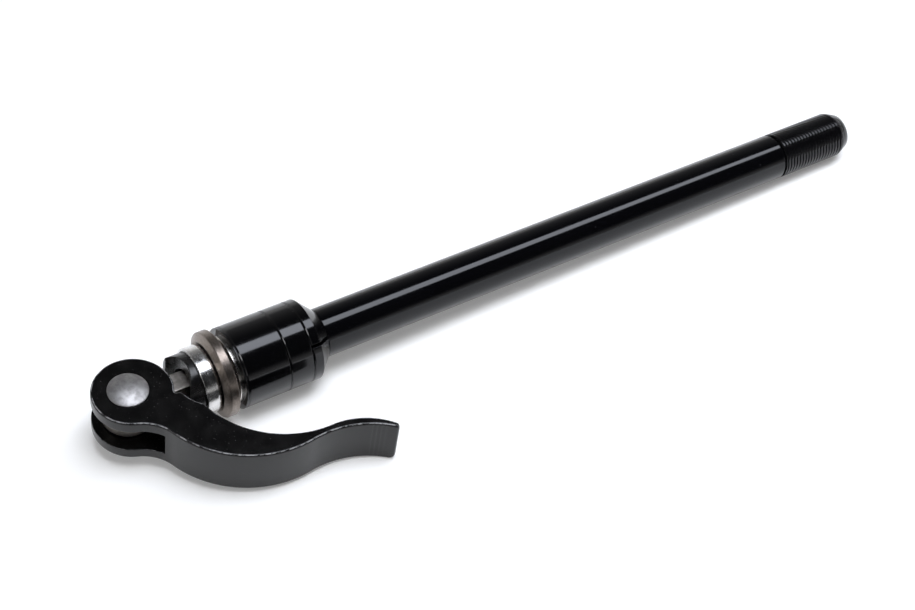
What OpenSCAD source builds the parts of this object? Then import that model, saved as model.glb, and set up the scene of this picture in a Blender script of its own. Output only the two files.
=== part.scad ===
// Bicycle thru axle with a folding cam lever, a conical seat ring and a removable spacer.
// Millimetres. The origin is on the axle's centre line, where the spacer meets the split ring.
// X runs along the axle towards its threaded end, Z is the lever pin's centre line,
// and the closed handle lies on the -Y side.

/* [Shaft] */
// outside diameter of the plain shaft
shaft_d = 11.9; // [9:0.05:15]
// length from the spacer face to the threaded tip
shaft_reach = 166.1; // [110:0.1:200]
// major diameter of the end thread
thread_d = 11.9; // [9:0.05:15]
// length of the end thread
thread_len = 19.75; // [10:0.25:30]
// length of the tapered lead-in at the tip
tip_len = 3; // [0.5:0.1:4]
// width of the runout groove where the thread starts
runout_len = 0.7; // [0.4:0.1:1.5]
// radius lost over the lead-in
tip_drop = 1.2; // [0.4:0.1:1.5]
// diameter of the drilled bore at the threaded end
bore_d = 7; // [5:0.1:9]

/* [Collars] */
// outside diameter of the three black collars
collar_d = 19.8; // [16:0.1:26]
// length of the long sleeve
sleeve_len = 11.5; // [8:0.1:15]
// length of the rim that a groove sets off at the sleeve's lever end
rim_len = 0.6; // [0.6:0.05:1.2]
// length of the removable spacer
spacer_len = 6; // [3:0.1:9]
// length of the split ring's round part
ring_len = 2.3; // [1.5:0.1:4]
// length of the split ring's conical nose
nose_len = 3.5; // [2:0.1:5]
// wall left at the thin end of the nose, over its inner rib
nose_wall = 0.6; // [0.45:0.05:1]
// width of the slit in the split ring
slit_w = 0.8; // [0.4:0.1:1.5]
// depth of the shaft groove that the split ring snaps into
snap_depth = 0.35; // [0.2:0.05:0.6]
// play of the split ring's inner rib in that groove
snap_play = 0.05; // [0.03:0.01:0.1]
// position of the slit round the axle, in degrees
slit_turn = 138; // [0:1:359]
// edge chamfer of the collars
collar_edge = 0.3; // [0.1:0.05:0.35]
// radial clearance of the collars on the shaft
collar_fit = 0.05; // [0.02:0.01:0.1]

/* [Thrust bush] */
// wall of the sleeve round the steel bush
sleeve_wall = 1.75; // [1:0.05:3]
// length of the bush that stands out of the sleeve
bush_out = 0.9; // [0.6:0.1:2.5]
// length of the bush inside the sleeve
bush_in = 3; // [1.5:0.1:4]
// radial clearance of the bush in the sleeve
bush_fit = 0.04; // [0.02:0.01:0.08]

/* [Cup washer] */
// outside diameter of the washer
washer_d = 20.8; // [17:0.1:26]
// thickness of the washer's rim
washer_t = 2.2; // [1.6:0.1:3]
// diameter of the raised lip that holds the cap
lip_d = 16.8; // [14:0.1:18]
// height of the lip above the rim
lip_h = 1; // [0.5:0.1:1.6]
// free play between washer and bush
washer_play = 1.05; // [0.5:0.05:1.5]

/* [Cap] */
// outside diameter of the polished cap
cap_d = 16.4; // [13.5:0.1:18]
// length of the cap's straight wall
cap_wall_len = 2.5; // [1.8:0.1:4]
// wall thickness round the saddle
cap_wall = 0.7; // [0.5:0.05:1.2]
// rounding between the wall and the ball face
cap_round = 2; // [1:0.1:2.5]
// radius of the ball face
ball_r = 11.65; // [10:0.05:15]
// depth of the recess that holds the saddle
cap_recess = 2; // [1.4:0.1:2.4]

/* [Saddle] */
// length of the saddle that stands out of the cap
saddle_out = 3.8; // [3:0.1:6]
// depth of the saddle's trough
trough_depth = 2.2; // [1:0.1:2.6]
// extra radius of the trough over the lever's round head
trough_extra = 0.1; // [0:0.05:0.5]
// radial clearance of the saddle in the cap
saddle_fit = 0.08; // [0.03:0.01:0.15]

/* [Eye rod] */
// diameter of the rod's round shank
rod_d = 6; // [5:0.1:7.5]
// width of the rod's flat neck
neck_w = 5; // [4:0.1:6]
// thickness of the neck and the eye
eye_t = 5.6; // [4:0.1:6.5]
// outside diameter of the eye
eye_d = 12.2; // [9.6:0.1:14]
// length of the shank inside the shaft
rod_grip = 18; // [12:0.5:26]
// radial clearance of the shank in the shaft
rod_fit = 0.05; // [0.02:0.01:0.1]

/* [Pin] */
// diameter of the lever pin
pin_d = 6; // [4.5:0.1:7.4]
// diameter of the pin's domed head
pin_head_d = 9.3; // [7.6:0.1:11.5]
// height of the head's straight rim
pin_rim = 0.3; // [0.2:0.05:1.2]
// rise of the dome above the rim
pin_dome = 1; // [0.5:0.05:1.5]
// radial clearance of the pin in the eye
pin_fit = 0.05; // [0.02:0.01:0.1]
// radial clearance of the pin in the fork ears
pin_grip = 0.02; // [0.01:0.01:0.05]

/* [Lever] */
// radius of the lever's round cam head
head_r = 9.25; // [7.5:0.05:11.5]
// distance from the pin to the centre of the round head
cam_offset = 1; // [0.5:0.05:1.5]
// direction of that offset, in degrees from the axle
cam_turn = -28; // [-35:1:10]
// gap between the closed cam and the loose saddle
cam_gap = 4.1; // [2.5:0.1:5]
// thickness of the lever
lever_t = 12.6; // [11.4:0.1:15]
// side gap between the eye and each fork ear
ear_gap = 0.5; // [0.2:0.05:0.8]
// distance from the pin to the closed end of the fork's slot
slot_reach = 12.9; // [12:0.1:15]
// radius of the hollow between the head and the arm
throat_r = 10; // [6:0.5:14]
// distance from the pin to the grip's end, along the grip's slope
lever_len = 60.6; // [52:0.1:74]
// slope of the grip's end, in degrees
grip_slope = -36; // [-40:1:-32]
// outer bend radius of the arm, as a share of the lever's length
bend_share = 0.413; // [0.4:0.001:0.425]
// inner bend radius of the arm, as a share of the lever's length
inner_share = 0.381; // [0.37:0.001:0.39]
// outer radius of the flared grip, as a share of the lever's length
flare_share = 0.376; // [0.36:0.001:0.39]
// inner radius of the flared grip, as a share of the lever's length
grip_share = 0.276; // [0.26:0.001:0.29]

/* [Hidden] */
$fn = 96;
// how far a cutting shape runs past the face it cuts
cut = 1;
// room between the bush and the shaft's end
shaft_gap = 0.9;
// solid metal between the shank's hole and the drilled bore
bore_gap = 3;
// how far the snap groove runs past the nose
snap_past = 0.25;
// room round the rod in the saddle, the bush and the washer
neck_play = 0.4;
bush_play = 0.6;
throat_play = 0.9;
// gap between the cap's ball face and its seat
ball_play = 0.12;
// how far the neck runs past the trough before the round shank starts
neck_run = 1.6;
// depth of the runout groove at the thread
runout_depth = 0.6;
// chamfer of the shaft's hidden end
shaft_edge = 0.4;
// chamfer of the drilled bore's mouth
mouth = 0.6;

// stations along the axle, worked out from the spacer face towards the lever
sleeve_end = -spacer_len;
sleeve_start = sleeve_end - sleeve_len;
bush_start = sleeve_start - bush_out;
bush_end = sleeve_start + bush_in;
shaft_start = bush_end + shaft_gap;
washer_end = bush_start - washer_play;
rim_start = washer_end - washer_t;
lip_start = rim_start - lip_h;
thread_start = shaft_reach - tip_len - thread_len;
bore_start = shaft_start + rod_grip + bore_gap;
snap_start = ring_len / 2;
snap_end = ring_len + nose_len + snap_past;

// seat of the cap's ball face in the washer, a cone of 60 degrees to each side
seat_turn = 60;
rod_hole_r = norm([neck_w, eye_t]) / 2 + neck_play;
washer_hole_r = rod_d / 2 + throat_play;
bush_r = collar_d / 2 - sleeve_wall;
bush_hole_r = rod_d / 2 + bush_play;
seat_r = ball_r * cos(seat_turn);
seat_x = lip_start + (lip_d / 2 - seat_r) / tan(seat_turn);
ball_x = seat_x - ball_r * sin(seat_turn) - ball_play;

// the cap's rounding touches both the wall and the ball face
round_r = cap_d / 2 - cap_round;
round_x = ball_x + sqrt(pow(ball_r - cap_round, 2) - round_r * round_r);
cap_start = round_x - cap_wall_len;
cap_floor = cap_start + cap_recess;
cap_touch_r = round_r * ball_r / (ball_r - cap_round);
cap_bore_r = cap_d / 2 - cap_wall;
saddle_r = cap_bore_r - saddle_fit;
saddle_start = cap_start - saddle_out;
trough_r = head_r + trough_extra;
trough_x = saddle_start + trough_depth - trough_r;

// the lever turns about the pin, and its round head sits off the pin's centre
head_x = cam_offset * cos(cam_turn);
head_y = cam_offset * sin(cam_turn);
head_reach = cam_offset * 0.9 + head_r;
pin_x = saddle_start + trough_depth - cam_gap - head_reach;
slot_t = eye_t + 2 * ear_gap;
rod_end = shaft_start + rod_grip;

// centres of the arm's arcs, measured from the pin
bend_r = bend_share * lever_len;
inner_r = inner_share * lever_len;
flare_r = flare_share * lever_len;
grip_r = grip_share * lever_len;
bend_c = lever_len * [0.4434, -0.0865];
inner_c = lever_len * [0.5917, -0.0807];
bend_turn = -81.6;
inner_turn = -89.3;
bend_out = bend_c + bend_r * [cos(bend_turn), sin(bend_turn)];
inner_out = inner_c + inner_r * [cos(inner_turn), sin(inner_turn)];

flare_c = bend_c + (bend_r + flare_r) * [cos(bend_turn), sin(bend_turn)];
grip_c = inner_c + (inner_r + grip_r) * [cos(inner_turn), sin(inner_turn)];

// the arm's two parts overlap a little where their arcs meet
lap = 0.6;
bend_near = inner_out - [lap, 0];
bend_far = bend_out + [3 * lap, 0];
grip_near = inner_out - [3 * lap, 0];
grip_far = bend_out + [lap, 0];
slope = [cos(grip_slope), sin(grip_slope)];
across = [-slope[1], slope[0]];

// the grip's end is chamfered at both of its edges
grip_rise = sqrt(grip_r * grip_r - pow(lever_len - 1 - grip_c * slope, 2));
flare_rise = sqrt(flare_r * flare_r - pow(lever_len - 1 - flare_c * slope, 2));
edge_in = grip_c * across + grip_rise;
edge_out = flare_c * across + flare_rise;
end_cut = 0.6;

// the hollow touches the round head and the bend
head_c = [head_x, head_y];
head_gap = norm(bend_c - head_c);
head_side = head_r + throat_r;
bend_side = bend_r + throat_r;
throat_run = (head_side * head_side - bend_side * bend_side + head_gap * head_gap) / (2 * head_gap);
throat_rise = sqrt(head_side * head_side - throat_run * throat_run);
throat_dir = (bend_c - head_c) / head_gap;
throat_c = head_c + throat_run * throat_dir + throat_rise * [throat_dir[1], -throat_dir[0]];
throat_head = head_c + (throat_c - head_c) * head_r / head_side;
throat_bend = bend_c + (throat_c - bend_c) * bend_r / bend_side;
throat_back = [head_r * 0.6, -head_r * 0.85];
throat_bite = 0.02;

// the arm is cut back round the saddle
relief_room = 4.35;
relief_reach = 2.2;
relief_r = saddle_r + relief_room;
relief_c = [saddle_start - pin_x + relief_r - relief_reach, -2];
arm_top = -5.1;

// turns a profile drawn as [radius, station] round the axle's centre line
module round_x() {
    rotate([0, 90, 0]) rotate_extrude() children();
}

// a ring with chamfered outer edges
module collar_ring(x0, x1, inner, outer, edge) {
    round_x() polygon([
        [inner, x0], [outer - edge, x0], [outer, x0 + edge],
        [outer, x1 - edge], [outer - edge, x1], [inner, x1]
    ]);
}

module axle_shaft() {
    shank_r = shaft_d / 2;
    thread_r = thread_d / 2;
    groove_r = shank_r - snap_depth;
    runout_r = thread_r - runout_depth;
    hole_r = rod_d / 2 + rod_fit;
    color([0.05, 0.05, 0.06]) round_x() polygon([
        [hole_r, shaft_start], [shank_r - shaft_edge, shaft_start], [shank_r, shaft_start + shaft_edge],
        [shank_r, snap_start], [groove_r, snap_start], [groove_r, snap_end], [shank_r, snap_end],
        [shank_r, thread_start], [runout_r, thread_start],
        [runout_r, thread_start + runout_len], [thread_r, thread_start + runout_len],
        [thread_r, shaft_reach - tip_len], [thread_r - tip_drop, shaft_reach],
        [bore_d / 2 + mouth, shaft_reach], [bore_d / 2, shaft_reach - mouth],
        [bore_d / 2, bore_start], [hole_r, bore_start - mouth / 2]
    ]);
}

module sleeve() {
    bore_r = shaft_d / 2 + collar_fit;
    outer_r = collar_d / 2;
    rim_edge = collar_edge / 2;
    groove_x = sleeve_start + rim_len;
    pocket_r = bush_r + bush_fit;
    color([0.04, 0.04, 0.05]) difference() {
        round_x() polygon([
            [bore_r, sleeve_start], [outer_r - rim_edge, sleeve_start], [outer_r, sleeve_start + rim_edge],
            [outer_r, groove_x - collar_edge], [outer_r - collar_edge, groove_x],
            [outer_r, groove_x + collar_edge], [outer_r, sleeve_end - collar_edge],
            [outer_r - collar_edge, sleeve_end], [bore_r, sleeve_end]
        ]);
        translate([sleeve_start - cut, 0, 0]) rotate([0, 90, 0])
            cylinder(r = pocket_r, h = bush_in + cut);
    }
}

module spacer() {
    color([0.04, 0.04, 0.05])
        collar_ring(sleeve_end, 0, shaft_d / 2 + collar_fit, collar_d / 2, collar_edge);
}

module split_ring() {
    bore_r = shaft_d / 2 + collar_fit;
    rib_r = shaft_d / 2 - snap_depth + snap_play;
    color([0.04, 0.04, 0.05]) difference() {
        round_x() polygon([
            [bore_r, 0], [collar_d / 2 - collar_edge, 0], [collar_d / 2, collar_edge],
            [collar_d / 2, ring_len], [rib_r + nose_wall, ring_len + nose_len],
            [rib_r, ring_len + nose_len], [rib_r, snap_start + snap_play],
            [bore_r, snap_start + snap_play]
        ]);
        rotate([slit_turn, 0, 0]) translate([-cut, bore_r - cut, -slit_w / 2])
            cube([ring_len + nose_len + 2 * cut, collar_d / 2, slit_w]);
    }
}

module thrust_bush() {
    color([0.75, 0.75, 0.76])
        collar_ring(bush_start, bush_end, bush_hole_r, bush_r, collar_edge);
}

module cup_washer() {
    lip_r = lip_d / 2;
    rim_r = washer_d / 2;
    lip_flat = 0.12;
    rim_edge = 0.25;
    rim_drop = 0.1;
    throat_x = lip_start + (lip_r - washer_hole_r) / tan(seat_turn);
    color([0.66, 0.61, 0.56]) round_x() polygon([
        [washer_hole_r, washer_end], [washer_hole_r, throat_x], [lip_r, lip_start],
        [lip_r + lip_flat, lip_start], [rim_r - 1.5 * rim_drop, rim_start - rim_drop],
        [rim_r, rim_start + rim_drop], [rim_r, washer_end - rim_edge], [rim_r - rim_edge, washer_end]
    ]);
}

module cap() {
    wall_r = cap_d / 2;
    color([0.82, 0.82, 0.83]) round_x() difference() {
        union() {
            translate([0, cap_start]) square([wall_r, cap_wall_len]);
            translate([round_r, round_x]) circle(r = cap_round);
            intersection() {
                translate([0, ball_x]) circle(r = ball_r);
                translate([0, round_x]) square([cap_touch_r, ball_r]);
            }
        }
        translate([-cut, cap_start - cut]) square([cap_bore_r + cut, cap_recess + cut]);
        translate([-wall_r, cap_start - wall_r]) square([wall_r + rod_hole_r, 3 * wall_r]);
    }
}

module saddle() {
    color([0.06, 0.06, 0.06]) difference() {
        translate([saddle_start, 0, 0]) rotate([0, 90, 0])
            cylinder(r = saddle_r, h = cap_floor - saddle_start);
        translate([saddle_start - cut, 0, 0]) rotate([0, 90, 0])
            cylinder(r = rod_hole_r, h = cap_floor - saddle_start + 2 * cut);
        translate([trough_x, 0, -cap_d / 2]) cylinder(r = trough_r, h = cap_d);
    }
}

module eye_rod() {
    neck_end = saddle_start + trough_depth + neck_run;
    color([0.62, 0.6, 0.57]) difference() {
        union() {
            translate([pin_x, 0, -eye_t / 2]) cylinder(r = eye_d / 2, h = eye_t);
            translate([pin_x, -neck_w / 2, -eye_t / 2]) cube([neck_end - pin_x, neck_w, eye_t]);
            translate([neck_end - cut, 0, 0]) rotate([0, 90, 0])
                cylinder(r = rod_d / 2, h = rod_end - neck_end + cut);
        }
        translate([pin_x, 0, -eye_t]) cylinder(r = pin_d / 2 + pin_fit, h = 2 * eye_t);
    }
}

module pin() {
    head_base = lever_t / 2;
    dome_r = (pow(pin_head_d / 2, 2) + pin_dome * pin_dome) / (2 * pin_dome);
    color([0.72, 0.72, 0.73]) translate([pin_x, 0, 0]) rotate_extrude() union() {
        translate([0, -lever_t / 2]) square([pin_d / 2, lever_t + pin_rim / 2]);
        translate([0, head_base]) square([pin_head_d / 2, pin_rim]);
        intersection() {
            translate([0, head_base + pin_rim + pin_dome - dome_r]) circle(r = dome_r);
            translate([0, head_base + pin_rim / 2]) square([pin_head_d / 2, pin_dome + pin_rim]);
        }
    }
}

// the arm's broad part, from the round head to the start of the flare
module arm_bend() {
    intersection() {
        difference() {
            translate(bend_c) circle(r = bend_r);
            translate(inner_c) circle(r = inner_r);
            translate(relief_c) circle(r = relief_r);
        }
        polygon([
            [-bend_r, arm_top], [inner_c[0], arm_top], bend_near + (bend_near - bend_far),
            bend_far + (bend_far - bend_near), [-bend_r, -2 * bend_r]
        ]);
    }
}

// the flared grip, a band between two arcs
module arm_grip() {
    intersection() {
        difference() {
            translate(grip_c) circle(r = grip_r);
            translate(flare_c) circle(r = flare_r);
        }
        polygon([
            grip_near + (grip_near - grip_far), grip_far + (grip_far - grip_near),
            (lever_len - flare_r) * slope + (edge_out + end_cut - flare_r) * across,
            lever_len * slope + (edge_out + end_cut) * across,
            lever_len * slope + (edge_in - end_cut) * across,
            (lever_len - grip_r) * slope + (edge_in - end_cut + grip_r) * across
        ]);
    }
}

module lever() {
    color([0.07, 0.07, 0.07]) translate([pin_x, 0, 0]) difference() {
        translate([0, 0, -lever_t / 2]) linear_extrude(height = lever_t) difference() {
            union() {
                translate(head_c) circle(r = head_r);
                difference() {
                    polygon([head_c, throat_head, throat_c, throat_bend, throat_back]);
                    translate(throat_c) circle(r = throat_r + throat_bite);
                }
                arm_bend();
                arm_grip();
            }
            circle(r = pin_d / 2 + pin_grip);
        }
        translate([-2 * head_r, -slot_reach, -slot_t / 2])
            cube([4 * head_r, slot_reach + 2 * head_r, slot_t]);
    }
}

axle_shaft();
sleeve();
spacer();
split_ring();
thrust_bush();
cup_washer();
cap();
saddle();
eye_rod();
pin();
lever();
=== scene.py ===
"""Looks of a bicycle thru axle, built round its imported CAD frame.

Sizes are in millimetres in the CAD frame: X runs along the axle towards the thread,
Z is the lever pin's centre line, and the origin lies where the spacer meets the split ring.
Points are turned into metres where a mesh is made; lamps, floor and world use metres.

A turned piece comes from a closed run of corners, each (station on the axis, radius,
rounding). Most stations come from the CAD nodes, the rest from the named sizes.
"""

import math

import bmesh
import bpy
import numpy as np
from mathutils import Matrix, Vector


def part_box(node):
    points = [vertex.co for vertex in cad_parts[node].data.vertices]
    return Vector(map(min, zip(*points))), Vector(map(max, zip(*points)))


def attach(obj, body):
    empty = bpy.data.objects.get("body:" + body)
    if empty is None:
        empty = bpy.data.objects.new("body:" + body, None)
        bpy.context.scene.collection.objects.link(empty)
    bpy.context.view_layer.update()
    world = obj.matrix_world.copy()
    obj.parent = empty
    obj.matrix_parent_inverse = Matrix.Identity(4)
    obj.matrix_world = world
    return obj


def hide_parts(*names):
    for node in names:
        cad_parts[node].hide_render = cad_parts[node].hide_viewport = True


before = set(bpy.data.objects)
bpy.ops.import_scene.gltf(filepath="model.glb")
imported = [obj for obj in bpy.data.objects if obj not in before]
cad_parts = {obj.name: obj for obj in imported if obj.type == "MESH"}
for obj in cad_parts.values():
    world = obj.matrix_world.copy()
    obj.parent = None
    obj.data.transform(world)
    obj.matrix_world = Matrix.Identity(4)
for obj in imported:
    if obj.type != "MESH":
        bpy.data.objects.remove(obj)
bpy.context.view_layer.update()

MM = 0.001
TURN_STEPS = 144            # facets round a turned piece
CORNER_STEPS = 4            # facets in a rounded corner
JOIN_GAP = 0.0004           # points closer than this are joined
SHARP_ANGLE = 50            # edges sharper than this are not shaded smooth
STRAIGHT = 0.01             # a bend smaller than this, in radians, is left alone
ROOM_SHARE = 0.49           # share of a side that the rounding of one corner may take
CUT_PAST = 1                # how far a cutter goes past what it cuts


# Geometry helpers

def span(node):
    """First and last station of a CAD node along the axle, in mm."""
    low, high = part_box(node)
    return low.x / MM, high.x / MM


def unit(v):
    return v / np.linalg.norm(v)


def polar(centre, radius, degrees):
    turn = math.radians(degrees)
    return np.array(centre) + radius * np.array([math.cos(turn), math.sin(turn)])


def arc(centre, radius, start, end, steps):
    """Points on an arc between two angles in degrees, both ends included."""
    return [polar(centre, radius, start + k * (end - start) / steps) for k in range(steps + 1)]


def rectangle(x_low, y_low, x_high, y_high):
    return [(x_low, y_low), (x_high, y_low), (x_high, y_high), (x_low, y_high)]


def soften(corners):
    """Points of a closed run of (x, y, rounding) corners; a rounding of 0 leaves a corner sharp."""
    out, count = [], len(corners)
    for i, (_, _, radius) in enumerate(corners):
        before, here, after = (np.array(corners[j % count][:2], float) for j in (i - 1, i, i + 1))
        u, v = unit(before - here), unit(after - here)
        half = math.acos(max(-1.0, min(1.0, float(u @ v)))) / 2
        if radius == 0 or half > math.pi / 2 - STRAIGHT:
            out.append(here)
            continue
        room = ROOM_SHARE * min(np.linalg.norm(before - here), np.linalg.norm(after - here))
        cut = min(radius / math.tan(half), room)
        centre = here + unit(u + v) * cut / math.cos(half)
        first, last = here + u * cut - centre, here + v * cut - centre
        sweep = math.pi - 2 * half
        for k in range(CORNER_STEPS + 1):
            share = k / CORNER_STEPS
            out.append(centre + (math.sin((1 - share) * sweep) * first
                                 + math.sin(share * sweep) * last) / math.sin(sweep))
    return out


def mesh_from(points, faces):
    """A mesh from points in mm, with doubled points joined and faces turned outward."""
    mesh = bpy.data.meshes.new("shape")
    mesh.from_pydata([tuple(MM * float(c) for c in p) for p in points], [], faces)
    bm = bmesh.new()
    bm.from_mesh(mesh)
    bmesh.ops.remove_doubles(bm, verts=bm.verts, dist=JOIN_GAP * MM)
    bmesh.ops.dissolve_degenerate(bm, edges=bm.edges, dist=JOIN_GAP * MM)
    bmesh.ops.recalc_face_normals(bm, faces=bm.faces)
    bm.to_mesh(mesh)
    bm.free()
    return mesh


def band(here, there, count):
    """Quads between two closed rings of count points that start at the indices here and there."""
    quads = []
    for i in range(count):
        j = (i + 1) % count
        quads.append((here + i, here + j, there + j, there + i))
    return quads


def ring_points(station, radius, axis="x", centre=0.0):
    """One ring of points round the axle, or round the pin's axis for axis z."""
    turns = [2 * math.pi * i / TURN_STEPS for i in range(TURN_STEPS)]
    if axis == "x":
        return [(station, radius * math.cos(t), radius * math.sin(t)) for t in turns]
    return [(centre + radius * math.cos(t), radius * math.sin(t), station) for t in turns]


def turned(outline, axis="x", centre=0.0):
    """A solid of revolution from a closed outline of (station, radius) points."""
    points, faces, rows = [], [], len(outline)
    for row, (station, radius) in enumerate(outline):
        points += ring_points(station, radius, axis, centre)
        faces += band(row * TURN_STEPS, (row + 1) % rows * TURN_STEPS, TURN_STEPS)
    return mesh_from(points, faces)


def slab(outline, z_low, z_high):
    """A flat plate from a closed outline in the XY plane."""
    count = len(outline)
    points = [(x, y, z) for z in (z_low, z_high) for x, y in outline]
    faces = [tuple(range(count)), tuple(range(count, 2 * count))]
    return mesh_from(points, faces + band(0, count, count))


def linked(name, data):
    """A new object in the scene."""
    obj = bpy.data.objects.new(name, data)
    bpy.context.scene.collection.objects.link(obj)
    return obj


def applied(obj):
    """Applies the modifiers of obj to its mesh."""
    bpy.context.view_layer.update()
    shaped = obj.evaluated_get(bpy.context.evaluated_depsgraph_get())
    mesh = bpy.data.meshes.new_from_object(shaped)
    obj.modifiers.clear()
    obj.data = mesh
    return obj


def combine(obj, tool_mesh, operation):
    """Cuts tool_mesh from obj, or joins it on, and drops the tool."""
    tool = linked("tool", tool_mesh)
    step = obj.modifiers.new("combine", "BOOLEAN")
    step.object, step.operation, step.solver = tool, operation, "EXACT"
    applied(obj)
    bpy.data.objects.remove(tool)


def bevelled(obj, width, angle, steps=3):
    """Rounds every edge sharper than angle."""
    step = obj.modifiers.new("edges", "BEVEL")
    step.width, step.segments = width * MM, steps
    step.limit_method, step.angle_limit = "ANGLE", math.radians(angle)
    step.use_clamp_overlap = False
    step.miter_outer = "MITER_ARC"
    return applied(obj)


def finish_piece(obj, name, body, node, slot, material):
    """Gives a piece its shading, its body and its material, and hides the CAD node that it stands
    for.
    """
    obj.name = name
    obj.data.name = name
    obj.data.shade_smooth()
    obj.data.set_sharp_from_angle(angle=math.radians(SHARP_ANGLE))
    even = obj.modifiers.new("even_shading", "WEIGHTED_NORMAL")
    even.mode, even.weight, even.keep_sharp = "FACE_AREA", 50, True
    obj.data.materials.clear()
    obj.data.materials.append(material)
    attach(obj, body)
    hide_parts(node)


def turned_piece(corners, *labels, axis="x", centre=0.0):
    """A whole piece from its corners; labels are what finish_piece takes after the object."""
    finish_piece(linked("piece", turned(soften(corners), axis, centre)), *labels)


# Shader helpers

NOISE_LOW, NOISE_HIGH = 0.3, 0.7    # the values that smooth noise mostly keeps to
BEVEL_SAMPLES = 6
MIX_FIRST, MIX_SECOND, MIX_RESULT = 6, 7, 2     # the colour sockets of a Mix node
WHITE = (1, 1, 1)
EVEN = (1, 1, 1)            # no stretch along any axis


class Tree:
    """Adds and links the nodes of one shader tree."""

    def __init__(self, owner):
        owner.use_nodes = True
        self.nodes = owner.node_tree.nodes
        self.links = owner.node_tree.links
        self.nodes.clear()
        self.place = self.add("TexCoord").outputs

    def add(self, kind, **settings):
        node = self.nodes.new("ShaderNode" + kind)
        for key, value in settings.items():
            setattr(node, key, value)
        return node

    def feed(self, socket, value):
        """Links an output to a socket, or sets the socket to a number or a colour."""
        if isinstance(value, tuple):
            socket.default_value = (*value, 1)
        elif isinstance(value, (int, float)):
            socket.default_value = value
        else:
            self.links.new(value, socket)

    def ramp(self, value, low, high, start=0.0, end=1.0, kind="SMOOTHSTEP"):
        """Maps value from low..high to start..end."""
        node = self.add("MapRange", interpolation_type=kind)
        for key, number in (("From Min", low), ("From Max", high), ("To Min", start),
                            ("To Max", end), ("Value", value)):
            self.feed(node.inputs[key], number)
        return node.outputs["Result"]

    def math(self, kind, a, b=0.0):
        node = self.add("Math", operation=kind)
        self.feed(node.inputs[0], a)
        self.feed(node.inputs[1], b)
        return node.outputs[0]

    def times(self, a, b):
        return self.math("MULTIPLY", a, b)

    def axis(self, vector, name):
        """One component of a vector."""
        node = self.add("SeparateXYZ")
        self.feed(node.inputs[0], vector)
        return node.outputs[name]


class Look(Tree):
    """The tree of a material round one Principled shader."""

    def __init__(self, name):
        self.material = bpy.data.materials.new(name)
        super().__init__(self.material)
        self.surface = self.add("OutputMaterial").inputs["Surface"]
        self.shader = self.add("BsdfPrincipled")
        self.feed(self.surface, self.shader.outputs["BSDF"])

    def scaled(self, size, stretch=EVEN):
        """Object coordinates in units of size mm, times stretch for each axis."""
        node = self.add("Mapping")
        node.inputs["Scale"].default_value = [s / size / MM for s in stretch]
        self.feed(node.inputs["Vector"], self.place["Object"])
        return node.outputs["Vector"]

    def noise(self, size, detail, rough=0.55, stretch=EVEN):
        """Noise whose blotches are about size mm across."""
        node = self.add("TexNoise")
        for key, value in (("Scale", 1.0), ("Detail", detail), ("Roughness", rough),
                           ("Vector", self.scaled(size, stretch))):
            self.feed(node.inputs[key], value)
        return node.outputs["Fac"]

    def cells(self, size):
        """Distance to the nearest of scattered points about size mm apart."""
        node = self.add("TexVoronoi")
        self.feed(node.inputs["Scale"], 1.0)
        self.feed(node.inputs["Vector"], self.scaled(size))
        return node.outputs["Distance"]

    def spread(self, noise, start, end):
        """Maps the usual range of a noise to start..end."""
        return self.ramp(noise, NOISE_LOW, NOISE_HIGH, start, end)

    def mix(self, factor, first, second):
        """A colour between two others."""
        node = self.add("Mix", data_type="RGBA")
        self.feed(node.inputs["Factor"], factor)
        self.feed(node.inputs[MIX_FIRST], first)
        self.feed(node.inputs[MIX_SECOND], second)
        return node.outputs[MIX_RESULT]

    def edges(self, radius, low, high):
        """1 on edges and 0 on flat ground, from a rounded normal against the true one."""
        soft = self.add("Bevel", samples=BEVEL_SAMPLES)
        self.feed(soft.inputs["Radius"], radius * MM)
        dot = self.add("VectorMath", operation="DOT_PRODUCT")
        self.feed(dot.inputs[0], soft.outputs["Normal"])
        self.feed(dot.inputs[1], self.add("NewGeometry").outputs["Normal"])
        return self.ramp(self.math("SUBTRACT", 1.0, dot.outputs["Value"]), low, high)

    def bump(self, height, depth, strength, under=None):
        """Bump whose full height is depth mm."""
        node = self.add("Bump")
        self.feed(node.inputs["Distance"], depth * MM)
        self.feed(node.inputs["Strength"], strength)
        self.feed(node.inputs["Height"], height)
        if under is not None:
            self.feed(node.inputs["Normal"], under)
        return node.outputs["Normal"]

    def set(self, **values):
        """Sets or links sockets of the shader; the names have _ for a space."""
        for key, value in values.items():
            self.feed(self.shader.inputs[key.replace("_", " ")], value)
        return self.material


# Materials: sizes of noise, cells and edges are in mm

def anodised(name, tone, rough, index):
    """Glossy black anodised aluminium with faint turning marks, dust and worn edges."""
    dust_tone, bare_and_highlight_tone, glint_tint = (0.22, 0.22, 0.23), (0.30, 0.30, 0.31), (0.78, 0.78, 0.80)
    n = Look(name)
    marks = n.noise(0.09, 2, 0.6, stretch=(1, 0.02, 0.02))
    drift = n.noise(9.0, 2)
    scuffs = n.ramp(n.noise(1.6, 4, 0.7, stretch=(0.35, 1, 1)), 0.66, 0.78)
    dust = n.ramp(n.cells(2.4), 0.035, 0.015)
    worn = n.times(n.edges(0.12, 0.03, 0.3), n.ramp(drift, 0.45, 0.62, 0.05, 0.5))
    colour = n.mix(n.times(dust, 0.5), tone, dust_tone)
    colour = n.mix(worn, colour, bare_and_highlight_tone)
    roughness = n.math("ADD", n.spread(drift, rough * 0.85, rough * 1.2), n.times(scuffs, 0.06))
    return n.set(Base_Color=colour, Roughness=roughness, IOR=index, Specular_Tint=glint_tint,
                 Normal=n.bump(marks, 0.0012, 0.35))


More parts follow.
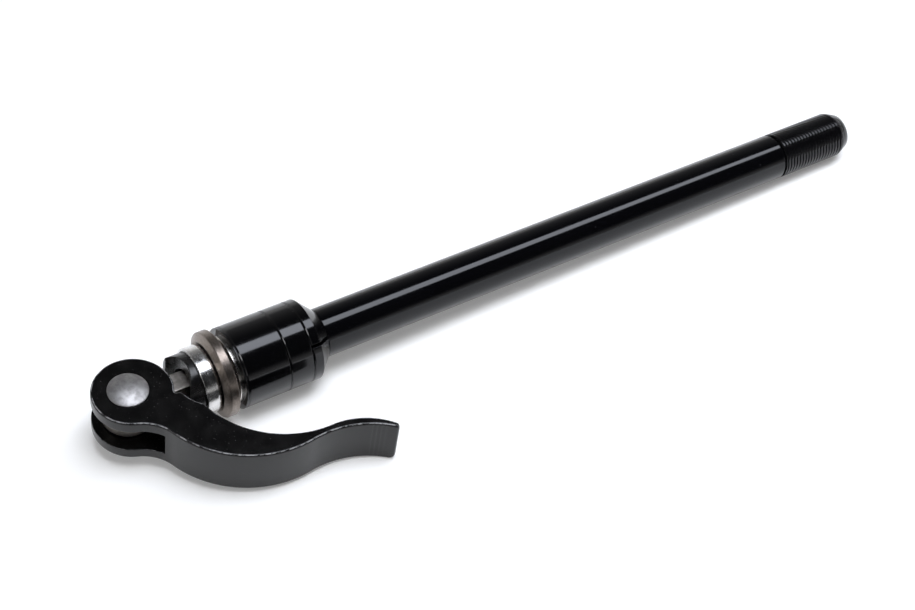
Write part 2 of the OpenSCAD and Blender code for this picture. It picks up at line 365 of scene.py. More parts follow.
def polished(name, tone, rough):
    """Bright steel with fine turning marks and faint smudges."""
    n = Look(name)
    marks = n.noise(0.12, 3, 0.6, stretch=(1, 0.03, 0.03))
    smudge = n.noise(2.8, 4, 0.6)
    darker = tuple(c * 0.8 for c in tone)
    return n.set(Base_Color=n.mix(n.ramp(smudge, 0.35, 0.7), tone, darker), Metallic=1.0,
                 Roughness=n.ramp(smudge, 0.3, 0.75, rough * 0.7, rough * 1.7),
                 Normal=n.bump(marks, 0.002, 0.5))


def plated(name):
    """Warm dull nickel plate, mottled and speckled."""
    light_tone, dark_tone = (0.27, 0.233, 0.208), (0.17, 0.143, 0.122)
    dirt_tone, edge_tone = (0.13, 0.09, 0.065), (0.55, 0.51, 0.47)
    n = Look(name)
    mottle = n.noise(0.35, 5, 0.7)
    grain = n.noise(0.16, 4, 0.7)
    dirt = n.ramp(n.noise(0.6, 4, 0.75), 0.58, 0.72)
    colour = n.mix(n.ramp(mottle, 0.35, 0.68), light_tone, dark_tone)
    colour = n.mix(n.times(dirt, 0.6), colour, dirt_tone)
    colour = n.mix(n.times(n.edges(0.15, 0.03, 0.3), 0.6), colour, edge_tone)
    return n.set(Base_Color=colour, Metallic=1.0, Roughness=n.spread(grain, 0.26, 0.40),
                 Normal=n.bump(grain, 0.012, 0.6))


def moulded(name):
    """Black moulded plastic with a fine spark texture."""
    dark_tone, light_tone = (0.003, 0.003, 0.0033), (0.0065, 0.006, 0.006)
    edge_tone = (0.09, 0.085, 0.08)
    n = Look(name)
    grain = n.noise(0.12, 4, 0.7)
    patch = n.noise(2.2, 3)
    colour = n.mix(n.spread(patch, 0.0, 1.0), dark_tone, light_tone)
    colour = n.mix(n.times(n.edges(0.2, 0.03, 0.35), 0.5), colour, edge_tone)
    return n.set(Base_Color=colour, Roughness=n.spread(patch, 0.20, 0.30),
                 Normal=n.bump(grain, 0.01, 0.5))


def forged(name):
    """Grey forged steel, lightly blasted, with bright rubbed edges."""
    light_tone, dark_tone, edge_tone = (0.42, 0.39, 0.36), (0.24, 0.22, 0.20), (0.78, 0.76, 0.73)
    n = Look(name)
    pits = n.noise(0.22, 5, 0.7)
    colour = n.mix(n.spread(n.noise(1.8, 3), 0.0, 1.0), light_tone, dark_tone)
    colour = n.mix(n.times(n.edges(0.25, 0.02, 0.3), 0.7), colour, edge_tone)
    return n.set(Base_Color=colour, Metallic=1.0, Roughness=n.spread(pits, 0.34, 0.52),
                 Normal=n.bump(pits, 0.02, 0.6))


def satin(name):
    """Satin tumbled steel with blotches and tiny dents."""
    light_tone, dark_tone, dent_shade_tone = (0.43, 0.42, 0.42), (0.31, 0.30, 0.30), (0.28, 0.27, 0.27)
    n = Look(name)
    blotch = n.noise(1.5, 4, 0.6)
    grain = n.noise(0.1, 3, 0.7)
    dents = n.ramp(n.cells(0.8), 0.16, 0.05)
    colour = n.mix(n.ramp(blotch, 0.36, 0.66), light_tone, dark_tone)
    # the dents are also painted darker: painted shade in the dents
    colour = n.mix(n.times(dents, 0.4), colour, dent_shade_tone)
    return n.set(Base_Color=colour, Metallic=1.0, Roughness=n.spread(blotch, 0.42, 0.54),
                 Normal=n.bump(grain, 0.006, 0.5, under=n.bump(dents, -0.02, 0.5)))


def coated(name):
    """Near-black satin coating with a fine grain, light specks and a painted highlight along its
    brims.
    """
    dark_tone, light_tone = (0.0020, 0.0020, 0.0022), (0.0040, 0.0038, 0.0038)
    speck_tone, bare_and_highlight_tone = (0.16, 0.15, 0.15), (0.36, 0.36, 0.37)
    n = Look(name)
    grain = n.noise(0.14, 4, 0.7)
    wave = n.noise(3.5, 3)
    specks = n.times(n.ramp(n.cells(0.6), 0.20, 0.10), n.ramp(n.noise(0.9, 3), 0.52, 0.62))
    # the brims are where the rounded edges turn towards the flat top and bottom
    rise = n.math("ABSOLUTE", n.axis(n.place["Normal"], "Z"))
    brim = n.times(n.ramp(rise, 0.66, 0.80), n.ramp(rise, 0.985, 0.93))
    # a broken light line is painted along the brims: a painted highlight of the lamps
    brim_highlight = n.times(brim, n.ramp(n.noise(2.2, 6, 0.8), 0.42, 0.60))
    colour = n.mix(n.spread(wave, 0.0, 1.0), dark_tone, light_tone)
    colour = n.mix(n.times(specks, 0.35), colour, speck_tone)
    colour = n.mix(n.times(brim_highlight, 0.75), colour, bare_and_highlight_tone)
    return n.set(Base_Color=colour, Roughness=n.spread(wave, 0.18, 0.24), IOR=1.42,
                 Normal=n.bump(grain, 0.004, 0.5))


shaft_black = anodised("shaft_black", (0.0018, 0.0018, 0.0024), rough=0.10, index=1.47)
collar_black = anodised("collar_black", (0.0018, 0.0018, 0.0022), rough=0.11, index=1.53)
bright_steel = polished("bright_steel", (0.66, 0.63, 0.60), rough=0.20)
cap_steel = polished("cap_steel", (0.78, 0.77, 0.76), rough=0.20)
nickel = plated("nickel")
black_plastic = moulded("black_plastic")
forged_steel = forged("forged_steel")
satin_steel = satin("satin_steel")
lever_black = coated("lever_black")


# Camera, as fitted to the photo

PHOTO_WIDTH, FOCAL_PX = 915, 1869.4
SENSOR = 36.0
CLIP_NEAR, CLIP_FAR = 0.01, 20
CAMERA_PLACE = (-148.14, -229.70, 340.97)
CAMERA_RIGHT = (0.84334, -0.52253, 0.12544)
CAMERA_UP = (0.33467, 0.69335, 0.63819)
CAMERA_BACK = (-0.42044, -0.49623, 0.75961)

camera = bpy.data.cameras.new("camera")
camera.sensor_width = SENSOR
camera.lens = FOCAL_PX / PHOTO_WIDTH * SENSOR
camera.clip_start, camera.clip_end = CLIP_NEAR, CLIP_FAR
camera_object = linked("camera", camera)
camera_turn = Matrix((CAMERA_RIGHT, CAMERA_UP, CAMERA_BACK)).transposed().to_4x4()
camera_object.matrix_world = Matrix.Translation(Vector(CAMERA_PLACE) * MM) @ camera_turn
bpy.context.scene.camera = camera_object


# Shaft and thread

SHAFT_R = 5.95
SHAFT_CHAMFER = 0.4
BARREL_ROWS = 12
BORE_R = 3.5
BORE_CHAMFER, BORE_STEP = 0.6, 0.3
ROD_SEAT_R, ROD_SEAT_LEN = 3.05, 21
RING_LEN = 2.3              # length of the split ring before its conical nose
SNAP_DEPTH, SNAP_EDGE, SNAP_PLAY = 0.35, 0.12, 0.25
THREAD_LEN, THREAD_DEPTH, PITCH = 19.75, 0.59, 1.0
ROOT_GAP, GROOVE_GAP = 0.1, 0.01    # how far the thread's end and its start lie below its root
RUNOUT_LEN, RUNOUT_EDGE, RUNOUT_LEAD = 0.7, 0.12, 0.2
TIP_LEN, TIP_DROP = 3.0, 1.2
# one turn of the thread: share of the pitch, share of the depth
TOOTH = [(0, 0), (0.05, 0.05), (0.10, 0.32), (0.15, 0.68), (0.19, 0.90), (0.24, 0.98), (0.30, 1),
         (0.50, 1), (0.70, 1), (0.76, 0.98), (0.81, 0.90), (0.85, 0.68), (0.90, 0.32), (0.95, 0.05)]
TEETH = len(TOOTH)

shaft_from, shaft_to = span("axle_shaft")
ring_to = span("split_ring")[1]
snap_from, snap_to = RING_LEN / 2, ring_to + SNAP_PLAY
cone_from = shaft_to - TIP_LEN
bore_from = shaft_from + ROD_SEAT_LEN
thread_from = cone_from - THREAD_LEN + RUNOUT_LEN
thread_to = cone_from + TIP_LEN * (THREAD_DEPTH + ROOT_GAP) / TIP_DROP
root_r = SHAFT_R - THREAD_DEPTH
groove_r = root_r - GROOVE_GAP


def cone_radius(station):
    """Radius of the lead-in cone at the threaded end."""
    return SHAFT_R - TIP_DROP * (station - cone_from) / TIP_LEN


def tooth_height(phase):
    """Height of the thread's profile, as a share of its depth, at a share of the pitch."""
    low = max(k for k, (share, _) in enumerate(TOOTH) if share <= phase)
    (x0, h0), (x1, h1) = TOOTH[low], (TOOTH + [(1, 0)])[low + 1]
    return h0 + (phase - x0) / (x1 - x0) * (h1 - h0)


def thread_surface():
    """Rows of the thread, sloped with its lead so that the crest is one clean line."""
    points, faces = [], []
    rows = int(TEETH * ((thread_to - thread_from) / PITCH + 1)) + 1
    for row in range(rows):
        share, height = TOOTH[row % TEETH]
        for i in range(TURN_STEPS):
            turn = i / TURN_STEPS
            station = thread_from + (row // TEETH + share + turn - 1) * PITCH
            if station < thread_from:
                station = thread_from
                radius = root_r + THREAD_DEPTH * tooth_height((1 - turn) % 1)
            else:
                station = min(station, thread_to)
                radius = root_r + THREAD_DEPTH * height
            if station > cone_from:
                radius = min(radius, cone_radius(station))
            if station >= thread_to:
                radius = cone_radius(thread_to)
            angle = 2 * math.pi * turn
            points.append((station, radius * math.cos(angle), radius * math.sin(angle)))

    # the seam where one turn of the helix meets the next joins rows that are a pitch apart
    for row in range(rows - 1):
        for i in range(TURN_STEPS):
            j, lift = (i + 1) % TURN_STEPS, TEETH if i + 1 == TURN_STEPS else 0
            if row + 1 + lift < rows:
                faces.append((row * TURN_STEPS + i, (row + lift) * TURN_STEPS + j,
                              (row + 1 + lift) * TURN_STEPS + j, (row + 1) * TURN_STEPS + i))
    return points, faces


def shaft_outline():
    """From the thread's end round the bore and back along the outside to the thread's start."""
    end_r = cone_radius(shaft_to)
    snap_r = SHAFT_R - SNAP_DEPTH
    runout_from = thread_from - RUNOUT_LEN
    barrel = [snap_to + (runout_from - snap_to) * k / BARREL_ROWS for k in range(1, BARREL_ROWS)]
    # the first corners after the thread's end round the outer edge of the shaft's end
    return [
        (thread_to, cone_radius(thread_to)), (shaft_to - 0.15, cone_radius(shaft_to - 0.15)),
        (shaft_to - 0.04, end_r - 0.06), (shaft_to, end_r - 0.2),
        (shaft_to, BORE_R + BORE_CHAMFER), (shaft_to - BORE_CHAMFER, BORE_R),
        (bore_from, BORE_R), (bore_from - BORE_STEP, ROD_SEAT_R), (shaft_from, ROD_SEAT_R),
        (shaft_from, SHAFT_R - SHAFT_CHAMFER), (shaft_from + SHAFT_CHAMFER, SHAFT_R),
        (snap_from - SNAP_EDGE, SHAFT_R), (snap_from, SHAFT_R - SNAP_EDGE), (snap_from, snap_r),
        (snap_to, snap_r), (snap_to, SHAFT_R - SNAP_EDGE), (snap_to + SNAP_EDGE, SHAFT_R),
        *((station, SHAFT_R) for station in barrel),
        (runout_from - RUNOUT_LEAD, SHAFT_R), (runout_from, SHAFT_R - RUNOUT_EDGE),
        (runout_from + RUNOUT_EDGE, groove_r), (thread_from, groove_r)]


def build_shaft():
    points, faces = thread_surface()
    outline = shaft_outline()
    for station, radius in outline[:-1]:
        faces += band(len(points), len(points) + TURN_STEPS, TURN_STEPS)
        points += ring_points(station, radius)
    last = len(points)
    points += ring_points(*outline[-1])
    for i in range(TURN_STEPS):
        j = (i + 1) % TURN_STEPS
        faces.append((last + i, last + j, j if j else TEETH * TURN_STEPS, i))
    return linked("piece", mesh_from(points, faces))


finish_piece(build_shaft(), "shaft", "axle", "axle_shaft", "shaft_anodised", shaft_black)


# Collars, bush and washer

COLLAR_R = 9.9
COLLAR_EDGE = 0.3
COLLAR_BORE = SHAFT_R + 0.05    # radii: the shaft's with a little play
RIM_LEN = 0.6               # the sleeve's narrow rim, set off by a V groove
BUSH_R, BUSH_HOLE = 8.15, 3.6
BUSH_POCKET = BUSH_R + 0.04
SLIT_W, SLIT_TURN = 0.8, 138
RIB_PLAY, NOSE_WALL = 0.05, 0.6
WASHER_R, WASHER_EDGE = 10.4, 0.25
LIP_R, LIP_H, LIP_LAND = 8.4, 1.0, 0.12
THROAT_R, SEAT_ANGLE = 3.9, 60

collar_shoulder = COLLAR_R - COLLAR_EDGE
sleeve_from, sleeve_to = span("sleeve")
spacer_from, spacer_to = span("spacer")
bush_from, bush_to = span("thrust_bush")
washer_from, washer_to = span("cup_washer")

groove = sleeve_from + RIM_LEN
turned_piece([
    (sleeve_from, BUSH_POCKET, 0.08), (sleeve_from, COLLAR_R - COLLAR_EDGE / 2, 0.04),
    (sleeve_from + COLLAR_EDGE / 2, COLLAR_R, 0.05), (groove - COLLAR_EDGE, COLLAR_R, 0.06),
    (groove, collar_shoulder, 0.02), (groove + COLLAR_EDGE, COLLAR_R, 0.1),
    (sleeve_to - COLLAR_EDGE, COLLAR_R, 0.1), (sleeve_to, collar_shoulder, 0.08),
    (sleeve_to, COLLAR_BORE, 0.1), (bush_to, COLLAR_BORE, 0.05), (bush_to, BUSH_POCKET, 0.05),
], "long_sleeve", "axle", "sleeve", "collar_anodised", collar_black)

turned_piece([
    (spacer_from, COLLAR_BORE, 0.1), (spacer_from, collar_shoulder, 0.08),
    (spacer_from + COLLAR_EDGE, COLLAR_R, 0.1), (spacer_to - COLLAR_EDGE, COLLAR_R, 0.1),
    (spacer_to, collar_shoulder, 0.08), (spacer_to, COLLAR_BORE, 0.1),
], "spacer_ring", "axle", "spacer", "collar_anodised", collar_black)


def build_split_ring():
    """The ring has a rib that snaps into the shaft's groove, a conical nose and a slit."""
    rib_r = SHAFT_R - SNAP_DEPTH + RIB_PLAY
    rib_from = snap_from + RIB_PLAY
    ring = linked("piece", turned(soften([
        (0, COLLAR_BORE, 0.1), (0, collar_shoulder, 0.08), (COLLAR_EDGE, COLLAR_R, 0.1),
        (RING_LEN, COLLAR_R, 0.12), (ring_to, rib_r + NOSE_WALL, 0.08), (ring_to, rib_r, 0.08),
        (rib_from, rib_r, 0), (rib_from, COLLAR_BORE, 0)])))
    slit = rectangle(-CUT_PAST, -SLIT_W / 2, ring_to + CUT_PAST, SLIT_W / 2)
    cutter = slab(slit, rib_r - CUT_PAST, COLLAR_R + 2 * CUT_PAST)
    cutter.transform(Matrix.Rotation(math.radians(SLIT_TURN - 90), 4, "X"))
    combine(ring, cutter, "DIFFERENCE")
    return bevelled(ring, 0.07, angle=50, steps=2)


finish_piece(build_split_ring(), "seat_ring", "axle", "split_ring", "collar_anodised", collar_black)

turned_piece([
    (bush_from, BUSH_HOLE, 0.2), (bush_from, BUSH_R, 0.3), (bush_to, BUSH_R, 0.3),
    (bush_to, BUSH_HOLE, 0.1),
], "steel_bush", "axle", "thrust_bush", "polished_steel", bright_steel)

rim_from = washer_from + LIP_H
throat = washer_from + (LIP_R - THROAT_R) / math.tan(math.radians(SEAT_ANGLE))
turned_piece([
    (washer_to, THROAT_R, 0.15), (throat, THROAT_R, 0.15), (washer_from, LIP_R, 0.04),
    (washer_from, LIP_R + LIP_LAND, 0.06), (rim_from - 0.1, WASHER_R - 0.15, 0.05),
    (rim_from + 0.1, WASHER_R, 0.08), (washer_to - WASHER_EDGE, WASHER_R, 0.15),
    (washer_to, WASHER_R - WASHER_EDGE, 0.1),
], "washer", "follower", "cup_washer", "nickel_steel", nickel)


# Cap and saddle

CAP_R, CAP_WALL, CAP_WALL_LEN = 8.2, 0.7, 2.5
CAP_ROUND, CAP_ROUND_STEPS = 2.0, 12
CAP_DEPTH = 2.0
BALL_R, BALL_STEPS = 11.65, 8
NECK_W, EYE_T = 5.0, 5.6
SADDLE_PLAY, ROD_PLAY = 0.08, 0.4
CAP_BORE = CAP_R - CAP_WALL
SADDLE_R = CAP_BORE - SADDLE_PLAY
TROUGH_R, TROUGH_DEPTH = 9.35, 2.2
TROUGH_TURN, TROUGH_STEPS = 70, 140     # half the arc's angle, and its steps
TROUGH_BACK, TROUGH_HALF = 5, 12        # the cutter's size behind the arc and to each side
ROD_HOLE = math.hypot(NECK_W, EYE_T) / 2 + ROD_PLAY

cap_from = span("cap")[0]
saddle_from, saddle_to = span("saddle")
trough_floor = saddle_from + TROUGH_DEPTH

round_x, round_r = cap_from + CAP_WALL_LEN, CAP_R - CAP_ROUND
ball_x = round_x - math.sqrt((BALL_R - CAP_ROUND) ** 2 - round_r ** 2)
touch_turn = math.degrees(math.atan2(round_r, round_x - ball_x))
hole_turn = math.degrees(math.asin(ROD_HOLE / BALL_R))
shoulder = arc((round_x, round_r), CAP_ROUND, 90, touch_turn, CAP_ROUND_STEPS)[1:]
ball = arc((ball_x, 0), BALL_R, touch_turn, hole_turn, BALL_STEPS)[1:]
turned_piece([
    (cap_from, CAP_BORE, 0.12), (cap_from, CAP_R, 0.18), (round_x, CAP_R, 0),
    *((*point, 0) for point in shoulder + ball[:-1]), (*ball[-1], 0.15),
    (cap_from + CAP_DEPTH, ROD_HOLE, 0.1), (cap_from + CAP_DEPTH, CAP_BORE, 0.05),
], "steel_cap", "follower", "cap", "polished_steel", cap_steel)


def build_saddle():
    """A plastic disc with a trough that the lever's round head turns in."""
    body = linked("piece", turned([
        (saddle_from, ROD_HOLE), (saddle_from, SADDLE_R), (saddle_to, SADDLE_R),
        (saddle_to, ROD_HOLE)]))
    trough_x = trough_floor - TROUGH_R
    trough = arc((trough_x, 0), TROUGH_R, -TROUGH_TURN, TROUGH_TURN, TROUGH_STEPS)
    back = [(trough_x - TROUGH_BACK, trough[end][1]) for end in (-1, 0)]
    combine(body, slab(trough + back, -TROUGH_HALF, TROUGH_HALF), "DIFFERENCE")
    return bevelled(body, 0.22, angle=35)


finish_piece(build_saddle(), "cam_saddle", "follower", "saddle", "black_plastic", black_plastic)


# Eye rod and pin

ROD_R = 3.0
EYE_R, EYE_STEPS = 6.1, 90
NECK_PAST = 1.6             # the neck's end past the trough's floor
SHANK_BITE = 1              # the shank's start inside the neck
PIN_R = 3.0
PIN_HEAD_R, PIN_RIM, PIN_DOME, DOME_STEPS = 4.65, 0.3, 1.0, 12
LEVER_H = 6.3               # half the lever's thickness

rod_from, rod_to = span("eye_rod")
PIN_X = rod_from + EYE_R
neck_to = trough_floor + NECK_PAST


def pin_drill(reach, play):
    """A cutter for a hole round the pin."""
    hole_r = PIN_R + play
    return turned([(-reach, 0), (-reach, hole_r), (reach, hole_r), (reach, 0)], "z", PIN_X)


def build_eye_rod():
    """A flat eye and neck, with a round shank that starts inside the neck's end."""
    half = NECK_W / 2
    root = math.degrees(math.asin(half / EYE_R))
    eye = arc((PIN_X, 0), EYE_R, root, 360 - root, EYE_STEPS)
    flat = linked("piece", slab(eye + [(neck_to, -half), (neck_to, half)], -EYE_T / 2, EYE_T / 2))
    combine(flat, pin_drill(reach=EYE_T, play=0.05), "DIFFERENCE")
    shank_from = neck_to - SHANK_BITE
    shank = turned([(shank_from, 0), (shank_from, ROD_R), (rod_to, ROD_R), (rod_to, 0)])
    combine(flat, shank, "UNION")
    return bevelled(flat, 0.35, angle=50)


finish_piece(build_eye_rod(), "eye_bolt", "rod", "eye_rod", "forged_steel", forged_steel)

dome_r = (PIN_HEAD_R ** 2 + PIN_DOME ** 2) / (2 * PIN_DOME)
dome_z = LEVER_H + PIN_RIM + PIN_DOME - dome_r
dome = arc((dome_z, 0), dome_r, math.degrees(math.asin(PIN_HEAD_R / dome_r)), 0, DOME_STEPS)
turned_piece([
    (-LEVER_H, 0, 0), (-LEVER_H, PIN_R, 0.3), (LEVER_H, PIN_R, 0), (LEVER_H, PIN_HEAD_R, 0.1),
    (*dome[0], 0.15), *((*point, 0) for point in dome[1:]),
], "lever_pin", "lever", "pin", "satin_steel", satin_steel, axis="z", centre=PIN_X)


# Lever: its outline is drawn about the pin in the XY plane

LEVER_LEN = 60.6
HEAD_R, CAM_OFFSET, CAM_TURN = 9.25, 1.0, -28
HOLLOW_R, HOLLOW_PLAY = 10.0, 0.02      # the hollow between the head and the bend
BEND_CENTRE, BEND_R = LEVER_LEN * np.array([0.4434, -0.0865]), 0.413 * LEVER_LEN
INNER_CENTRE, INNER_R = LEVER_LEN * np.array([0.5917, -0.0807]), 0.381 * LEVER_LEN
FLARE_R, FLARE_TURN = 0.376 * LEVER_LEN, -81.6
GRIP_R, GRIP_TURN = 0.276 * LEVER_LEN, -89.3
GRIP_SLOPE = -36
RELIEF_R, RELIEF_BITE, RELIEF_Y = SADDLE_R + 4.35, 2.2, -2     # clears the saddle
ARM_TOP, STEP_ROUND = -5.1, 0.9
END_R, END_ARC_STEPS = 0.6, 4
CORNER_LEVEL_AT = 1                     # the corners keep the level of the edges this far back
END_REACH, END_STEP, END_STATIONS = 6.0, 0.25, 20   # the stations before the grip's end
RIB_H, RIB_FADE = 0.14, 4               # depth of the fine grooves across the grip's end
RIB_FIRST, RIB_LAST, RIB_EVERY = 1, 17, 4           # their stations
EDGE_R = 0.55
TIP_TOP_R, TIP_LOW_R = 1.0, 1.6         # larger edge radii at the very end
SLOT_HALF, SLOT_REACH, SLOT_END = 3.3, 12.9, 18.6
SLOT_FREE, SLOT_RISE = 20, 18           # the slot cutter's reach past the head's open sides

GRIP_ALONG = polar((0, 0), 1, GRIP_SLOPE)
GRIP_ACROSS = np.array([-GRIP_ALONG[1], GRIP_ALONG[0]])


def circles_meet(c1, r1, c2, r2, side):
    """Where two circles cross: side is 1 for left and -1 for right of the line from c1 to c2."""
    gap = np.linalg.norm(c2 - c1)
    along = unit(c2 - c1)
    run = (r1 * r1 - r2 * r2 + gap * gap) / (2 * gap)
    rise = math.sqrt(r1 * r1 - run * run)
    return c1 + run * along + side * rise * np.array([-along[1], along[0]])


def arc_between(centre, radius, start, end, turn, step=0.8):
    """Points on an arc from start to end; turn is 1 for anticlockwise and -1 for clockwise."""
    a = math.atan2(*(start - centre)[::-1])
    b = math.atan2(*(end - centre)[::-1])
    sweep = (b - a) * turn % (2 * math.pi)
    count = max(2, round(sweep * radius / step))
    angles = [a + turn * sweep * k / count for k in range(count + 1)]
    return [centre + radius * np.array([math.cos(t), math.sin(t)]) for t in angles]


def at_height(centre, radius, y, side):
    """The point of a circle at height y: side is 1 for right and -1 for left."""
    return centre + [side * math.sqrt(radius ** 2 - (y - centre[1]) ** 2), y - centre[1]]


def grip_edge(centre, radius, drop):
    """One long edge of the grip's end; drop is 1 or -1, the side to which its corner rounds."""
    def rise(station):
        return centre @ GRIP_ACROSS + math.sqrt(radius ** 2 - (station - centre @ GRIP_ALONG) ** 2)

    stations = [LEVER_LEN - END_REACH + END_STEP * k for k in range(END_STATIONS)]
    points = [s * GRIP_ALONG + rise(s) * GRIP_ACROSS for s in stations]
    corner_rise = rise(LEVER_LEN - CORNER_LEVEL_AT)
    for k in range(END_ARC_STEPS + 1):
        turn = math.radians(90 / END_ARC_STEPS * k)
        station = LEVER_LEN - END_R * (1 - math.sin(turn))
        level = corner_rise + drop * END_R * (1 - math.cos(turn))
        points.append(station * GRIP_ALONG + level * GRIP_ACROSS)
    return points


def lever_outline():
    """The outline in four runs: outer edge, its end, the inner edge's end and the inner edge."""
    head = polar((0, 0), CAM_OFFSET, CAM_TURN)
    flare = polar(BEND_CENTRE, BEND_R + FLARE_R, FLARE_TURN)
    grip = polar(INNER_CENTRE, INNER_R + GRIP_R, GRIP_TURN)
    bend_out = polar(BEND_CENTRE, BEND_R, FLARE_TURN)
    inner_out = polar(INNER_CENTRE, INNER_R, GRIP_TURN)
    hollow = circles_meet(head, HEAD_R + HOLLOW_R, BEND_CENTRE, BEND_R + HOLLOW_R, -1)
    head_leave = head + unit(hollow - head) * HEAD_R
    bend_join = BEND_CENTRE + unit(hollow - BEND_CENTRE) * BEND_R
    relief = np.array([saddle_from - PIN_X + RELIEF_R - RELIEF_BITE, RELIEF_Y])
    relief_top = at_height(relief, RELIEF_R, ARM_TOP, -1)
    relief_low = circles_meet(relief, RELIEF_R, INNER_CENTRE, INNER_R, -1)
    notch = at_height(head, HEAD_R, ARM_TOP, 1)
    outer_end = grip_edge(flare, FLARE_R, 1)
    inner_end = grip_edge(grip, GRIP_R, -1)

    outer = arc_between(head, HEAD_R, notch, head_leave, 1)
    outer += arc_between(hollow, HOLLOW_R + HOLLOW_PLAY, head_leave, bend_join, -1)[1:]
    outer += arc_between(BEND_CENTRE, BEND_R, bend_join, bend_out, 1)[1:]
    outer += arc_between(flare, FLARE_R, bend_out, outer_end[0], -1)[1:-1]
    inside = arc_between(grip, GRIP_R, inner_end[0], inner_out, 1)[1:]
    inside += arc_between(INNER_CENTRE, INNER_R, inner_out, relief_low, -1)[1:]
    inside += arc_between(relief, RELIEF_R, relief_low, relief_top, -1)[1:]
    # the two corners of the step at ARM_TOP need room for their rounding
    return outer[:1] + outer[3:], outer_end, inner_end, inside[:-3] + inside[-1:]


def inset(loop, amount):
    """Moves a closed loop inward by amount, whichever way round it runs."""
    longest_stretch, least_dot = 1.6, 0.3       # keep sharp corners from running away
    before, after = np.roll(loop, 1, 0), np.roll(loop, -1, 0)
    area = np.sum(loop[:, 0] * after[:, 1] - after[:, 0] * loop[:, 1])
    side = 1 if area > 0 else -1

    def inward(v):
        v = v / np.linalg.norm(v, axis=1)[:, None]
        return side * np.stack([-v[:, 1], v[:, 0]], 1)

    a, b = inward(loop - before), inward(after - loop)
    middle = (a + b) / np.linalg.norm(a + b, axis=1)[:, None]
    stretch = np.minimum(1 / np.maximum(np.sum(middle * a, 1), least_dot), longest_stretch)
    return loop + amount * middle * stretch[:, None]


def edge_levels():
    """Inset and height of the rings from the lower face's edge to the upper one's."""
    upper = []
    for k in range(CORNER_STEPS + 1):
        turn = math.pi / 2 * k / CORNER_STEPS
        upper.append((EDGE_R * (1 - math.cos(turn)), LEVER_H - EDGE_R + EDGE_R * math.sin(turn)))
    return [(cut, -z) for cut, z in upper[::-1]] + upper


def tip_height(x, y, z):
    """Brings z down near the grip's end, where the edge radius is larger."""
    corner_r = TIP_TOP_R if z > 0 else TIP_LOW_R
    past = (np.array([x - PIN_X, y]) @ GRIP_ALONG) - (LEVER_LEN - corner_r)
    past = min(max(past, 0.0), corner_r)
    height = LEVER_H - corner_r + math.sqrt(corner_r ** 2 - past ** 2)
    return z * height / LEVER_H


def build_lever():
    outer, outer_end, inner_end, inside = lever_outline()
    corners = [(*point, 0) for point in outer + outer_end + inner_end[::-1] + inside]
    for i in (0, -1):
        corners[i] = (*corners[i][:2], STEP_ROUND)
    loop = np.array(soften(corners)) + [PIN_X, 0]
    count, levels = len(loop), edge_levels()
    tip_from, tip_count = len(outer) + CORNER_STEPS, len(outer_end)
    tip_last = tip_from + 2 * tip_count - 1

    ribs = np.zeros((count, 2))
    ribs[tip_from + RIB_FIRST:tip_from + RIB_LAST:RIB_EVERY] = RIB_H * GRIP_ACROSS
    points, faces = [], []
    for row, (cut, z) in enumerate(levels):
        # the grooves fade out where the edge rounds over
        for x, y in inset(loop, cut) + ribs * max(0, 1 - RIB_FADE * cut / EDGE_R):
            points.append((x, y, tip_height(x, y, z)))
        if row:
            faces += band((row - 1) * count, row * count, count)
    # each face is one polygon as far as the grip's end, and strips across the grip from there
    for base in (0, (len(levels) - 1) * count):
        faces.append([base + i for i in range(count) if i <= tip_from or i >= tip_last])
        for k in range(tip_count - 1):
            strip = (tip_from + k, tip_from + k + 1, tip_last - k - 1, tip_last - k)
            faces.append([base + i for i in strip])
    lever = linked("piece", mesh_from(points, faces))

    slot = rectangle(PIN_X - SLOT_FREE, -SLOT_REACH, PIN_X + SLOT_END, SLOT_RISE)
    combine(lever, slab(slot, -SLOT_HALF, SLOT_HALF), "DIFFERENCE")
    combine(lever, pin_drill(reach=9, play=0.02), "DIFFERENCE")
    return bevelled(lever, 0.14, angle=55, steps=2)


finish_piece(build_lever(), "cam_lever", "lever", "lever", "lever_coating", lever_black)


# Floor and lamps, in metres

FLOOR_HALF = 3.0
FLOOR_TONE = (0.86, 0.86, 0.86)
GLOW_NEAR, GLOW_FAR = 0.21, 1.0
GLOW_FROM, GLOW_TO = 0.3, 1.6           # distances over which the glow grows
SETTLE_ROUNDS = 12


def lowest(name, normal):
    """The point of a piece that lies furthest down, against normal."""
    mesh = bpy.data.objects[name].data
    co = np.zeros(len(mesh.vertices) * 3)
    mesh.vertices.foreach_get("co", co)
    co = co.reshape(-1, 3)
    return co[np.argmin(co @ normal)]


def resting_plane():
    """Normal and one point of the plane that the washer, the thread's end and the grip rest on."""
    normal = np.array([0.0, 0.0, 1.0])
    for _ in range(SETTLE_ROUNDS):
        a, b, c = (lowest(name, normal) for name in ("washer", "shaft", "cam_lever"))
        normal = unit(np.cross(b - a, c - a))
        normal = normal if normal[2] > 0 else -normal
    return normal, a


def floor_material():
    """Matt white that glows a little for the rays that see it, and more far from the object."""
    n = Look("floor")
    n.set(Base_Color=FLOOR_TONE, Roughness=0.9, Specular_IOR_Level=0.0)
    rays = n.add("LightPath").outputs
    seen = n.math("MAXIMUM", rays["Is Camera Ray"], rays["Is Glossy Ray"])
    seen = n.math("MAXIMUM", seen, rays["Is Transmission Ray"])
    away = n.add("VectorMath", operation="LENGTH")
    n.feed(away.inputs[0], n.place["Object"])
    level = n.ramp(away.outputs["Value"], GLOW_FROM, GLOW_TO, GLOW_NEAR, GLOW_FAR)
    glow = n.add("Emission")
    n.feed(glow.inputs["Color"], WHITE)
    n.feed(glow.inputs["Strength"], n.times(seen, level))
    total = n.add("AddShader")
    n.feed(total.inputs[0], n.shader.outputs["BSDF"])
    n.feed(total.inputs[1], glow.outputs["Emission"])
    n.feed(n.surface, total.outputs["Shader"])
    return n.material


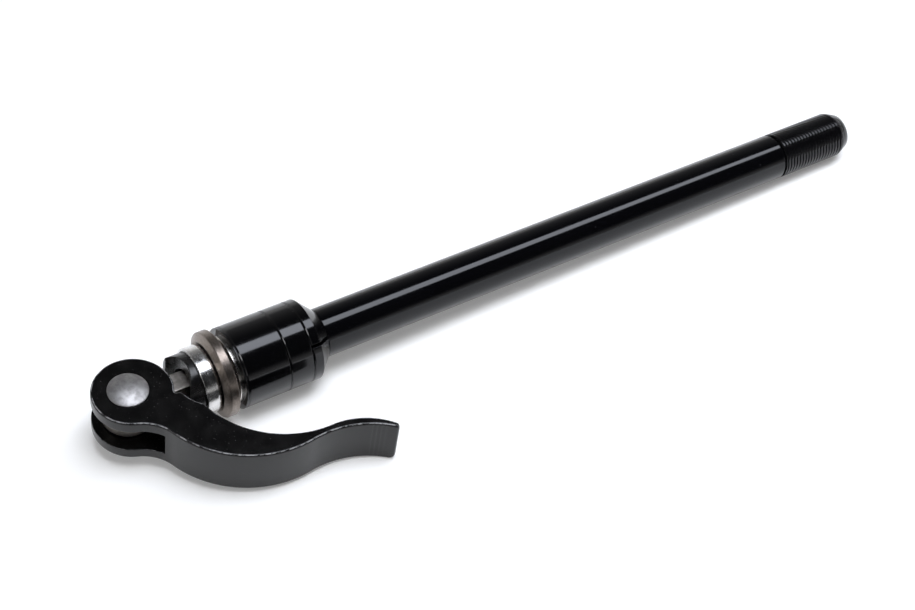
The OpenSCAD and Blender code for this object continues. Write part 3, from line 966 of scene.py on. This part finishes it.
def build_floor():
    normal, foot = resting_plane()
    mesh = bpy.data.meshes.new("floor")
    corners = rectangle(-FLOOR_HALF, -FLOOR_HALF, FLOOR_HALF, FLOOR_HALF)
    mesh.from_pydata([(x, y, 0) for x, y in corners], [], [(0, 1, 2, 3)])
    mesh.materials.append(floor_material())
    floor = linked("floor", mesh)
    turn = Vector((0, 0, 1)).rotation_difference(Vector(normal))
    floor.matrix_world = Matrix.Translation(Vector(foot)) @ turn.to_matrix().to_4x4()


def aimed(place, target):
    """The pose of a lamp at place that points at target."""
    turn = (Vector(target) - Vector(place)).to_track_quat("-Z", "Y").to_matrix().to_4x4()
    return Matrix.Translation(Vector(place)) @ turn


def softbox(name, pose, size, radiance, tint=WHITE):
    """A rectangular soft lamp whose face has the given radiance."""
    lamp = bpy.data.lights.new(name, "AREA")
    lamp.shape = "RECTANGLE"
    lamp.size, lamp.size_y = size
    lamp.energy = radiance * math.pi * size[0] * size[1]
    lamp.color = tint
    obj = linked(name, lamp)
    obj.matrix_world = pose
    return obj


build_floor()

# the long overhead strip gives the narrow line of light along the axle
strip_pose = Matrix.Translation((0.75, 0.02, 1.25)) @ Matrix.Rotation(math.radians(-31), 4, "Y")
softbox("strip", strip_pose, (2.1, 0.42), 6.2, tint=(0.88, 0.92, 1.0))
# a small lamp beyond the lever puts glints on the edges that face it
softbox("side", aimed((-1.6, -0.1, 0.78), (0, 0, 0)), (0.4, 0.4), 7.0)
# the big lamp overhead lights the floor and stays out of the reflections
key = softbox("key", aimed((0.0, -0.25, 1.7), (0.05, 0, 0)), (0.9, 0.9), 4.5)
key.visible_glossy = False


# World: bright low down, and dark overhead apart from a slower fade behind the object

FADE_HEIGHT, FADE_LIGHT = (0.02, 0.42), (0.85, 0.008)
HAZE_HEIGHT, HAZE_LIGHT = (0.35, 0.85), (0.26, 0.01)
BEHIND = (0.0, 0.5)


def build_world():
    world = bpy.data.worlds.new("studio")
    bpy.context.scene.world = world
    n = Tree(world)
    height = n.axis(n.place["Generated"], "Z")
    fade = n.ramp(height, *FADE_HEIGHT, *FADE_LIGHT)
    haze = n.ramp(height, *HAZE_HEIGHT, *HAZE_LIGHT, kind="LINEAR")
    behind = n.ramp(n.axis(n.place["Generated"], "Y"), *BEHIND)
    light = n.add("Background")
    n.feed(light.inputs["Color"], WHITE)
    n.feed(light.inputs["Strength"], n.math("MAXIMUM", fade, n.times(haze, behind)))
    n.feed(n.add("OutputWorld").inputs["Surface"], light.outputs["Background"])


build_world()
bpy.context.scene.view_settings.view_transform = "Standard"
